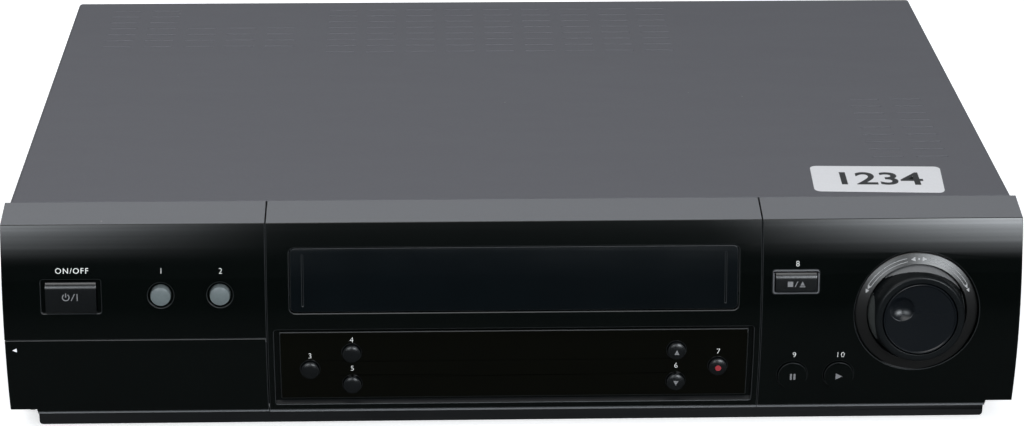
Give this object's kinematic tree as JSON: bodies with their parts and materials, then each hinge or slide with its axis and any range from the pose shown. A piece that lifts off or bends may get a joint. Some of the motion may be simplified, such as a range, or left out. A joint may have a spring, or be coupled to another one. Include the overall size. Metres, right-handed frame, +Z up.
{
  "type": "video cassette recorder",
  "caption": "Table-top video cassette recorder with a curved gloss front, cassette door, display window, socket flap, push buttons and a jog and shuttle knob.",
  "frame": {"origin": "centre of the bounding box at floor level", "axes": "+X to the right seen from the front, +Y from the front panel to the back, +Z up"},
  "size_m": [0.435, 0.3172, 0.0993],
  "materials": {
    "cover_paint": "matte stove enamel",
    "plated_steel": "zinc plated sheet",
    "black_moulding": "fine moulded grain",
    "rear_paint": "matte",
    "rubber_foot": "matte",
    "black_screw": "black plated",
    "gloss_black": "polished",
    "window_acrylic": "smoked and polished",
    "scale_grey": "satin with printed arcs",
    "key_charcoal": "satin",
    "lamp_lens": "milky lens",
    "board_green": "lacquered board",
    "board_brown": "paper board",
    "grey_part": "mixed parts",
    "tube_glass": "dark glass",
    "socket_colours": "coloured mouldings with nickel barrels",
    "drum_aluminium": "turned",
    "capstan_steel": "ground",
    "black_rubber": "matte",
    "white_moulding": "acetal"
  },
  "bodies": {
    "recorder": {"top_cover": "cover_paint", "base_pan": "plated_steel", "chassis_posts": "plated_steel", "plinth": "black_moulding", "rear_panel": "rear_paint", "feet": "rubber_foot", "cover_screws": "black_screw", "fascia_left": "gloss_black", "fascia_centre": "gloss_black", "fascia_right": "gloss_black", "display_window": "window_acrylic", "scale_ring": "scale_grey", "knob_encoder": "grey_part", "front_board": "board_green", "key_switches": "black_moulding", "display_tube": "tube_glass", "front_sockets": "socket_colours", "main_board": "board_green", "power_board": "board_brown", "board_parts": "grey_part", "transformer": "plated_steel", "tuner_can": "plated_steel", "mains_inlet": "black_moulding", "scart_sockets": "black_moulding", "rear_phono_sockets": "socket_colours", "deck_plate": "plated_steel", "lower_drum": "drum_aluminium", "fixed_heads": "grey_part", "loading_motor": "black_moulding", "carriage_frame": "plated_steel"},
    "standby_button": {"standby_button": "key_charcoal"},
    "tape_button": {"tape_button": "lamp_lens"},
    "picture_button": {"picture_button": "lamp_lens"},
    "speed_button": {"speed_button": "key_charcoal"},
    "display_button": {"display_button": "key_charcoal"},
    "audio_button": {"audio_button": "key_charcoal"},
    "channel_up_button": {"channel_up_button": "key_charcoal"},
    "channel_down_button": {"channel_down_button": "key_charcoal"},
    "record_button": {"record_button": "key_charcoal"},
    "stop_button": {"stop_button": "key_charcoal"},
    "pause_button": {"pause_button": "gloss_black"},
    "play_button": {"play_button": "gloss_black"},
    "cassette_door": {"cassette_door": "gloss_black"},
    "av_flap": {"av_flap": "gloss_black"},
    "shuttle_ring": {"shuttle_ring": "black_moulding"},
    "jog_dial": {"jog_dial": "black_moulding"},
    "upper_drum": {"upper_drum": "drum_aluminium"},
    "capstan": {"capstan": "capstan_steel"},
    "pinch_arm": {"pinch_arm": "capstan_steel"},
    "pinch_roller": {"pinch_roller": "black_rubber"},
    "supply_reel": {"supply_reel": "white_moulding"},
    "takeup_reel": {"takeup_reel": "white_moulding"},
    "idler_arm": {"idler_arm": "white_moulding"},
    "idler_wheel": {"idler_wheel": "black_rubber"},
    "left_guide": {"left_guide": "white_moulding"},
    "right_guide": {"right_guide": "white_moulding"},
    "motor_pinion": {"motor_pinion": "white_moulding"},
    "cam_gear": {"cam_gear": "white_moulding"},
    "carriage_slider": {"carriage_slider": "white_moulding"},
    "cassette_basket": {"cassette_basket": "plated_steel"}
  },
  "joints": [
    {"name": "standby_press", "type": "slide", "parent": "recorder", "child": "standby_button", "axis": [0, 1, 0], "range_m": [0, 0.0008], "stiffness_N_per_m": 150, "springref_m": -0.0008},
    {"name": "tape_press", "type": "slide", "parent": "recorder", "child": "tape_button", "axis": [0, 1, 0], "range_m": [0, 0.0008], "stiffness_N_per_m": 150, "springref_m": -0.0008},
    {"name": "picture_press", "type": "slide", "parent": "recorder", "child": "picture_button", "axis": [0, 1, 0], "range_m": [0, 0.0008], "stiffness_N_per_m": 150, "springref_m": -0.0008},
    {"name": "speed_press", "type": "slide", "parent": "recorder", "child": "speed_button", "axis": [0, 1, 0], "range_m": [0, 0.0008], "stiffness_N_per_m": 150, "springref_m": -0.0008},
    {"name": "display_press", "type": "slide", "parent": "recorder", "child": "display_button", "axis": [0, 1, 0], "range_m": [0, 0.0008], "stiffness_N_per_m": 150, "springref_m": -0.0008},
    {"name": "audio_press", "type": "slide", "parent": "recorder", "child": "audio_button", "axis": [0, 1, 0], "range_m": [0, 0.0008], "stiffness_N_per_m": 150, "springref_m": -0.0008},
    {"name": "channel_up_press", "type": "slide", "parent": "recorder", "child": "channel_up_button", "axis": [0, 1, 0], "range_m": [0, 0.0008], "stiffness_N_per_m": 150, "springref_m": -0.0008},
    {"name": "channel_down_press", "type": "slide", "parent": "recorder", "child": "channel_down_button", "axis": [0, 1, 0], "range_m": [0, 0.0008], "stiffness_N_per_m": 150, "springref_m": -0.0008},
    {"name": "record_press", "type": "slide", "parent": "recorder", "child": "record_button", "axis": [0, 1, 0], "range_m": [0, 0.0008], "stiffness_N_per_m": 150, "springref_m": -0.0008},
    {"name": "stop_press", "type": "slide", "parent": "recorder", "child": "stop_button", "axis": [0, 1, 0], "range_m": [0, 0.0008], "stiffness_N_per_m": 150, "springref_m": -0.0008},
    {"name": "pause_press", "type": "slide", "parent": "recorder", "child": "pause_button", "axis": [0, 1, 0], "range_m": [0, 0.0008], "stiffness_N_per_m": 150, "springref_m": -0.0008},
    {"name": "play_press", "type": "slide", "parent": "recorder", "child": "play_button", "axis": [0, 1, 0], "range_m": [0, 0.0008], "stiffness_N_per_m": 150, "springref_m": -0.0008},
    {"name": "cassette_door_swing", "type": "hinge", "parent": "recorder", "child": "cassette_door", "pos_m": [0, -0.1415, 0.0845], "axis": [1, 0, 0], "range_deg": [0, 105], "stiffness_Nm_per_rad": 0.02, "springref_deg": -20.05},
    {"name": "av_flap_open", "type": "hinge", "parent": "recorder", "child": "av_flap", "pos_m": [-0.1617, -0.14285, 0.0133], "axis": [1, 0, 0], "range_deg": [0, 85]},
    {"name": "shuttle_turn", "type": "hinge", "parent": "recorder", "child": "shuttle_ring", "pos_m": [0.1728, -0.1483, 0.0558], "axis": [0, -0.9966, 0.0829], "range_deg": [-70, 70], "stiffness_Nm_per_rad": 0.05},
    {"name": "jog_turn", "type": "hinge", "parent": "recorder", "child": "jog_dial", "pos_m": [0.1728, -0.1483, 0.0558], "axis": [0, -0.9966, 0.0829], "continuous": true},
    {"name": "drum_spin", "type": "hinge", "parent": "recorder", "child": "upper_drum", "pos_m": [0, 0.06765, 0.036], "axis": [0.0872, 0, 0.9962], "continuous": true},
    {"name": "capstan_spin", "type": "hinge", "parent": "recorder", "child": "capstan", "pos_m": [0.062, 0.04665, 0.032], "axis": [0, 0, 1], "continuous": true},
    {"name": "pinch_arm_swing", "type": "hinge", "parent": "recorder", "child": "pinch_arm", "pos_m": [0.088, 0.05665, 0.034], "axis": [0, 0, -1], "range_deg": [0, 28]},
    {"name": "pinch_roller_spin", "type": "hinge", "parent": "pinch_arm", "child": "pinch_roller", "pos_m": [0.07896, 0.03441, 0.045], "axis": [0, 0, 1], "continuous": true},
    {"name": "supply_reel_spin", "type": "hinge", "parent": "recorder", "child": "supply_reel", "pos_m": [-0.046, -0.03435, 0.034], "axis": [0, 0, 1], "continuous": true},
    {"name": "takeup_reel_spin", "type": "hinge", "parent": "recorder", "child": "takeup_reel", "pos_m": [0.046, -0.03435, 0.034], "axis": [0, 0, 1], "continuous": true},
    {"name": "idler_swing", "type": "hinge", "parent": "recorder", "child": "idler_arm", "pos_m": [0, -0.00935, 0.035], "axis": [0, 0, 1], "range_deg": [-26, 26]},
    {"name": "idler_wheel_spin", "type": "hinge", "parent": "idler_arm", "child": "idler_wheel", "pos_m": [0, -0.04735, 0.033], "axis": [0, 0, 1], "continuous": true},
    {"name": "cam_turn", "type": "hinge", "parent": "recorder", "child": "cam_gear", "pos_m": [-0.076, 0.06565, 0.034], "axis": [0, 0, 1], "range_deg": [0, 270]},
    {"name": "motor_pinion_turn", "type": "hinge", "parent": "recorder", "child": "motor_pinion", "pos_m": [-0.076, 0.0415, 0.034], "axis": [0, 0, 1], "range_deg": [-840, 0]},
    {"name": "left_guide_run", "type": "slide", "parent": "recorder", "child": "left_guide", "axis": [-0.3686, 0.9296, 0], "range_m": [0, 0.06239]},
    {"name": "right_guide_run", "type": "slide", "parent": "recorder", "child": "right_guide", "axis": [0.3686, 0.9296, 0], "range_m": [0, 0.06239]},
    {"name": "carriage_travel", "type": "slide", "parent": "recorder", "child": "carriage_slider", "axis": [0, 1, 0], "range_m": [0, 0.062]},
    {"name": "basket_lower", "type": "slide", "parent": "carriage_slider", "child": "cassette_basket", "axis": [0, 0, -1], "range_m": [0, 0.022]}
  ],
  "couplings": [
    {"joint": "motor_pinion_turn", "follows": "cam_turn", "ratio": -3},
    {"joint": "left_guide_run", "follows": "cam_turn", "m_per_rad": 0.01324},
    {"joint": "right_guide_run", "follows": "cam_turn", "m_per_rad": 0.01324}
  ]
}
